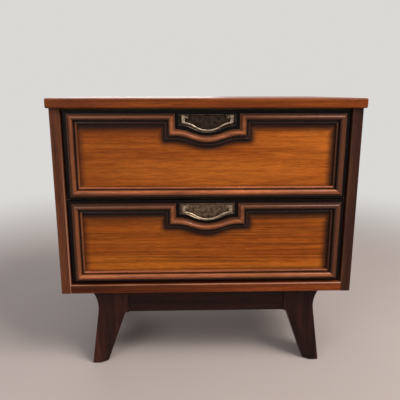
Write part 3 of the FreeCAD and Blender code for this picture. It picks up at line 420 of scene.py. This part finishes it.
def finish_of(node):
    """The short name of a node's finish."""
    level, _, rest = node.partition("_")
    if level not in LEVELS:
        level, rest = "", node
    exact = {
        "top_panel": "top",
        "side_panel_left": "side_left",
        "side_panel_right": "side_right",
        "bottom_rail": "rail",
        "back_panel": "back",
        "front": "field",
        "face_veneer": "veneer_" + level,
        "bottom": "ply",
        "back": "plain_x",
        "wood_screws": "steel",
        "back_nails": "steel",
        "foot_glides": "steel",
        "pull_screws": "steel",
        "pull_bail": "bail_" + level,
        "pull_posts": "bail_" + level,
        "pull_backplate": "plate_" + level,
        "apron_dowels": "plain_x",
        "divider_rail_front": "plain_x",
        "divider_rail_rear": "plain_x",
        "top_stretcher_front": "plain_x",
        "top_stretcher_rear": "plain_x",
        "bottom_panel": "plain_x",
    }
    if rest in exact:
        return exact[rest]
    if rest.startswith("moulding_"):
        return rest.replace("moulding", "moulding_" + level)
    starts = (("leg_", "base"), ("apron_", "apron"))
    for start, kind in starts:
        if rest.startswith(start):
            return kind
    return "plain_y"


def dress_nodes(made):
    """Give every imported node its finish."""
    for node, item in frame["nodes"].items():
        item.data.materials.clear()
        item.data.materials.append(made[finish_of(node)])


# Modelled pieces ------------------------------------------------------------------------------------------

def mesh_piece(name, points, faces, material, body, node):
    """A new piece from points and faces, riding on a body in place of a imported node."""
    mesh = bpy.data.meshes.new(name)
    mesh.from_pydata(points, [], faces)
    mesh.validate()
    mesh.update()
    mesh.polygons.foreach_set("use_smooth", [True] * len(mesh.polygons))
    mesh.materials.append(material)
    piece = bpy.data.objects.new(name, mesh)
    bpy.context.scene.collection.objects.link(piece)
    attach(piece, body)
    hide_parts(node)


def ring_faces(rings, around):
    """Faces joining rings of points one after another, closed at both ends."""
    faces = []
    for ring in range(rings - 1):
        for step in range(around):
            start, turned = ring * around + step, ring * around + (step + 1) % around
            faces.append((start, turned, turned + around, start + around))
    last = rings * around - 1
    faces.append(tuple(range(around)))
    faces.append(tuple(range(last, last - around, -1)))
    return faces


def swag(half, drop, across):
    """How far a swag curve has dipped at a distance from its middle: two arcs that meet at a slant."""
    angle = 2 * math.atan(drop / half)
    radius = half / 2 / math.sin(angle)
    across = min(abs(across), half)
    if across > half / 2:
        return radius - math.sqrt(radius ** 2 - (half - across) ** 2)
    return drop - radius + math.sqrt(radius ** 2 - across ** 2)


def hammered(x, z):
    """A repeatable pattern of small dents, from 0 to 1."""
    pitch = 1.9 * MM
    row = math.floor(z / pitch)
    best = 9.0
    for near_row in (row - 1, row, row + 1):
        column = math.floor(x / pitch)
        for near_column in (column - 1, column, column + 1):
            seed = math.sin(near_row * 127.1 + near_column * 311.7) * 43758.5453
            drift_x, drift_z = seed - math.floor(seed), seed * 7.31 - math.floor(seed * 7.31)
            away_x = x / pitch - (near_column + 0.2 + 0.6 * drift_x)
            away_z = z / pitch - (near_row + 0.2 + 0.6 * drift_z)
            best = min(best, away_x ** 2 + away_z ** 2)
    return min(math.sqrt(best), 1.0)


def backplate(level, material):
    """The pull's plate: a rounded raised rim round a hammered field, in the CAD plate's outline."""
    node = f"{level}_pull_backplate"
    low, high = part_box(node)
    half = high.x
    corner = low.z + PLATE_SWAG
    rim_wide, rim_high, sheet = 2.6 * MM, high.y - low.y, 1.2 * MM
    edge_rise, edge_wide = 0.6 * MM, 0.5 * MM
    dent_floor, dent_deep = 0.75 * MM, 0.5 * MM
    columns, rows = 150, 44
    points = []
    for row in range(rows + 1):
        for column in range(columns + 1):
            x = -half + 2 * half * column / columns
            bottom = corner - swag(half, PLATE_SWAG, x)
            z = bottom + (high.z - bottom) * row / rows
            inset = min(half - abs(x), z - bottom, high.z - z)
            if inset < rim_wide:
                rise = sheet + (rim_high - sheet) * math.sin(math.pi * inset / rim_wide) ** 0.6
                rise = edge_rise + (rise - edge_rise) * min(1.0, inset / edge_wide)
            else:
                rise = dent_floor + dent_deep * hammered(x, z)
            points.append((x, high.y - rise, z))
    across = columns + 1
    faces = []
    for row in range(rows):
        for column in range(columns):
            start = row * across + column
            faces.append((start, start + 1, start + across + 1, start + across))
    rim = list(range(across))
    rim += [row * across + columns for row in range(1, rows + 1)]
    rim += [rows * across + column for column in range(columns - 1, -1, -1)]
    rim += [row * across for row in range(rows - 1, 0, -1)]
    first = len(points)
    points += [(points[spot][0], high.y, points[spot][2]) for spot in rim]
    for index, spot in enumerate(rim):
        following = (index + 1) % len(rim)
        faces.append((spot, first + index, first + following, rim[following]))
    faces.append(tuple(first + index for index in range(len(rim))))
    mesh_piece(f"{level}_backplate_hammered", points, faces, material, f"{level}_drawer", node)


def strip(name, pairs, depth, middle, material, body, node):
    """A rounded band between two edge lines: an oval section at each pair of edge points."""
    around = 14
    points = []
    for outer, inner in pairs:
        centre = ((outer[0] + inner[0]) / 2, (outer[1] + inner[1]) / 2)
        half = ((outer[0] - inner[0]) / 2, (outer[1] - inner[1]) / 2)
        for step in range(around):
            turn = 2 * math.pi * step / around
            wide = math.copysign(abs(math.cos(turn)) ** 0.6, math.cos(turn))
            deep = math.copysign(abs(math.sin(turn)) ** 0.6, math.sin(turn))
            points.append((centre[0] + half[0] * wide, middle - deep * depth / 2,
                           centre[1] + half[1] * wide))
    mesh_piece(name, points, ring_faces(len(pairs), around), material, body, node)


def bail(level, material):
    """The bail: flat arms that turn under at the shoulders into a swagged strap, with two pins."""
    node = f"{level}_pull_bail"
    low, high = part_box(node)
    pivot = PIVOT[f"{level}_bail"]
    half = high.x
    corner = low.z + BAIL_SWAG
    inner_half = half - BAIL_ARM
    radius = half / 2 / math.sin(2 * math.atan(BAIL_SWAG / half))
    crook = corner - radius + math.sqrt((radius + BAIL_STRAP) ** 2 - BAIL_ARM ** 2)
    arm_steps, strap_steps = 5, 40
    pairs = []
    for step in range(arm_steps + 1):
        z = high.z - (high.z - crook) * step / arm_steps
        pairs.append(((-half, z), (-inner_half, z)))
    for step in range(1, strap_steps + 1):
        outer_x = -half + half * step / strap_steps
        inner_x = -inner_half + inner_half * step / strap_steps
        outer_z = corner - swag(half, BAIL_SWAG, outer_x)
        inner_z = min(crook, corner - swag(half, BAIL_SWAG, inner_x) + BAIL_STRAP)
        pairs.append(((outer_x, outer_z), (inner_x, inner_z)))
    pairs += [((-outer[0], outer[1]), (-inner[0], inner[1])) for outer, inner in reversed(pairs[:-1])]
    strip(f"{level}_bail_band", pairs, high.y - low.y, pivot[1], material, f"{level}_bail", node)
    pin_root, pin_reach = 1 * MM, 4.2 * MM
    for side, sign in (("left", -1), ("right", 1)):
        reach = [(inner_half + pin_root) * sign, (inner_half - pin_reach) * sign]
        pin(f"{level}_bail_pin_{side}", reach, pivot, PIN_RADIUS, material, f"{level}_bail", node)


def pin(name, reach, centre, radius, material, body, node):
    """A short round pin along X with rounded ends."""
    around = 16
    rings = ((0.0, 0.7), (0.12, 1.0), (0.88, 1.0), (1.0, 0.7))
    points = []
    for share, girth in rings:
        x = reach[0] + (reach[1] - reach[0]) * share
        for step in range(around):
            turn = 2 * math.pi * step / around
            points.append((x, centre[1] + radius * girth * math.cos(turn),
                           centre[2] + radius * girth * math.sin(turn)))
    mesh_piece(name, points, ring_faces(len(rings), around), material, body, node)


def posts(level, material):
    """The two posts: soft-edged blocks with a domed front, standing on the plate."""
    node = f"{level}_pull_posts"
    low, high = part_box(node)
    tall = high.z - low.z
    middle = (low.z + high.z) / 2
    around = 24
    rings = ((0.0, 1.0), (0.62, 0.9), (0.8, 0.96), (0.93, 0.82), (1.0, 0.45))
    for side, sign in (("left", -1), ("right", 1)):
        centre = sign * (high.x - POST_WIDE / 2)
        points = []
        for share, girth in rings:
            y = high.y + (low.y - high.y) * share
            for step in range(around):
                turn = 2 * math.pi * step / around
                across = math.copysign(abs(math.cos(turn)) ** 0.45, math.cos(turn))
                up = math.copysign(abs(math.sin(turn)) ** 0.45, math.sin(turn))
                points.append((centre + across * girth * POST_WIDE / 2, y, middle + up * girth * tall / 2))
        faces = ring_faces(len(rings), around)
        mesh_piece(f"{level}_post_{side}", points, faces, material, f"{level}_drawer", node)


# Stage, lights and camera ----------------------------------------------------------------------------------

def pale_floor():
    """A matt floor that fades, a few steps out, into the backdrop that the camera and reflections see."""
    material = bpy.data.materials.new("floor_matt")
    material.use_nodes = True
    tree = material.node_tree
    tree.nodes.clear()
    spot = add(tree, "TexCoord").outputs["Object"]
    cloud = noise(tree, spot, 6.0, 4.0, 0.6)
    shade = mix(tree, cloud, colour(*(part * 0.94 for part in FLOOR)), colour(*FLOOR))
    matt = add(tree, "BsdfPrincipled", None, Roughness=0.75)
    tree.links.new(shade, matt.inputs["Base Color"])
    glow = add(tree, "Emission", None, Color=colour(*BACKDROP), Strength=1.0)
    far = add(tree, "VectorMath", {"operation": "LENGTH"}, i0=spot).outputs["Value"]
    share = calc(tree, "MULTIPLY", looked_at(tree), fade(tree, far, FADE_START, FADE_END, 0.0, 1.0))
    both = add(tree, "MixShader", None, Fac=share)
    tree.links.new(matt.outputs[0], both.inputs[1])
    tree.links.new(glow.outputs[0], both.inputs[2])
    output = add(tree, "OutputMaterial")
    tree.links.new(both.outputs[0], output.inputs[0])
    return material


def looked_at(tree):
    """One for camera, reflection and transmission rays, else zero."""
    path = add(tree, "LightPath")
    looked = calc(tree, "MAXIMUM", path.outputs["Is Camera Ray"], path.outputs["Is Glossy Ray"])
    return calc(tree, "MAXIMUM", looked, path.outputs["Is Transmission Ray"])


def plane(name, corners, material):
    """A flat stage piece."""
    mesh = bpy.data.meshes.new(name)
    mesh.from_pydata(corners, [], [(0, 1, 2, 3)])
    mesh.materials.append(material)
    item = bpy.data.objects.new(name, mesh)
    bpy.context.scene.collection.objects.link(item)


def area_light(name, place, size, power, tint=(1.0, 1.0, 1.0)):
    """A large soft square lamp aimed at the middle of the case."""
    lamp = bpy.data.lights.new(name, "AREA")
    lamp.shape = "RECTANGLE"
    lamp.size, lamp.size_y = size, size
    lamp.energy = power
    lamp.color = tint
    item = bpy.data.objects.new(name, lamp)
    item.location = place
    item.rotation_euler = (Vector(LAMP_AIM) - Vector(place)).to_track_quat("-Z", "Y").to_euler()
    bpy.context.scene.collection.objects.link(item)


def build_stage():
    """Floor, lamps and a pale world."""
    corners = ((-1, -1), (1, -1), (1, 1), (-1, 1))
    plane("floor", [(x * FLOOR_HALF, y * FLOOR_HALF, 0.0) for x, y in corners], pale_floor())
    world = bpy.data.worlds.new("studio")
    bpy.context.scene.world = world
    world.use_nodes = True
    tree = world.node_tree
    tree.nodes.clear()
    soft = add(tree, "Background", None, Color=colour(0.9, 0.94, 1.0), Strength=0.2)
    seen = add(tree, "Background", None, Color=colour(*BACKDROP), Strength=1.0)
    share = add(tree, "MixShader", None, Fac=looked_at(tree))
    tree.links.new(soft.outputs[0], share.inputs[1])
    tree.links.new(seen.outputs[0], share.inputs[2])
    output = add(tree, "OutputWorld")
    tree.links.new(share.outputs[0], output.inputs[0])
    area_light("key", (1.35, -1.2, 2.2), 1.2, 76.0, (1.0, 0.97, 0.93))
    area_light("fill", (-1.3, -2.3, 1.7), 1.5, 31.0, (0.96, 0.98, 1.0))
    area_light("top", (0.0, -0.9, 2.5), 1.8, 11.0)
    area_light("rear", (-0.6, 2.6, 1.5), 1.8, 22.0)


def build_camera():
    """The camera at the photograph's angle, slightly above the top and looking down."""
    lens = bpy.data.cameras.new("camera")
    lens.sensor_width = 36.0
    lens.lens = CAMERA_LENS
    lens.clip_start = 0.01
    item = bpy.data.objects.new("camera", lens)
    item.location = CAMERA_PLACE
    item.rotation_euler = (math.radians(90 - CAMERA_DOWN), 0.0, math.radians(-CAMERA_RIGHT))
    bpy.context.scene.collection.objects.link(item)
    bpy.context.scene.camera = item


def main():
    """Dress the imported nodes, add the modelled pulls, and set the stage."""
    bpy.context.scene.view_settings.view_transform = "Standard"
    made = finishes()
    dress_nodes(made)
    for level in LEVELS:
        backplate(level, made["plate_" + level])
        bail(level, made["bail_" + level])
        posts(level, made["bail_" + level])
    build_stage()
    build_camera()


main()
